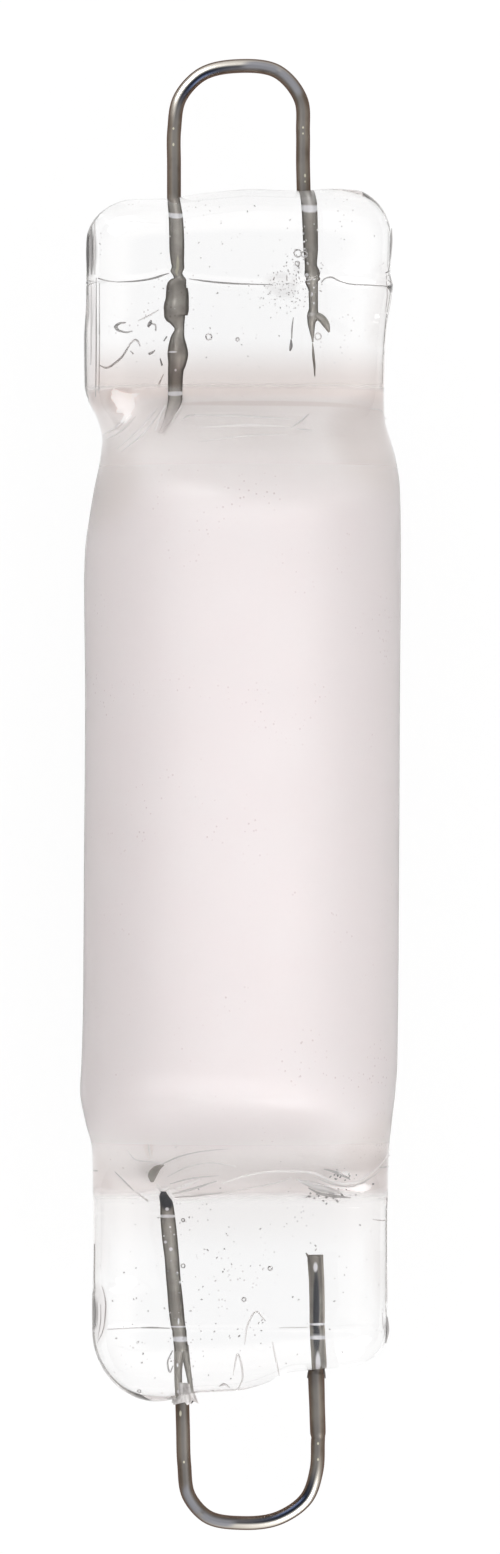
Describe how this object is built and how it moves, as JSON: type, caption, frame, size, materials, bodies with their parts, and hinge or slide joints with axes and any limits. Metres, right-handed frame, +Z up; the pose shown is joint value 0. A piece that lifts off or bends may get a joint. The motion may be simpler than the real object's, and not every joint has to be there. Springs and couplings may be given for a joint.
{
  "type": "xenon bulb",
  "caption": "Frosted glass tube lamp, pressed flat at both ends round a stiff wire loop that hooks onto a spring contact.",
  "frame": {"origin": "on the surface that the lamp lies on, under the middle of its length and width", "axes": "+Y along the lamp's axis towards the upper wire loop, +X across the flat seals, +Z up, square to the flat seals"},
  "size_m": [0.0095, 0.0442, 0.0092],
  "materials": {
    "lamp_glass": "frosted inside along the tube, clear at both pressed ends",
    "loop_wire": "drawn nickel alloy wire, slightly oxidised"
  },
  "bodies": {
    "root": {"glass_envelope": "lamp_glass", "upper_loop": "loop_wire", "lower_loop": "loop_wire"}
  },
  "joints": []
}
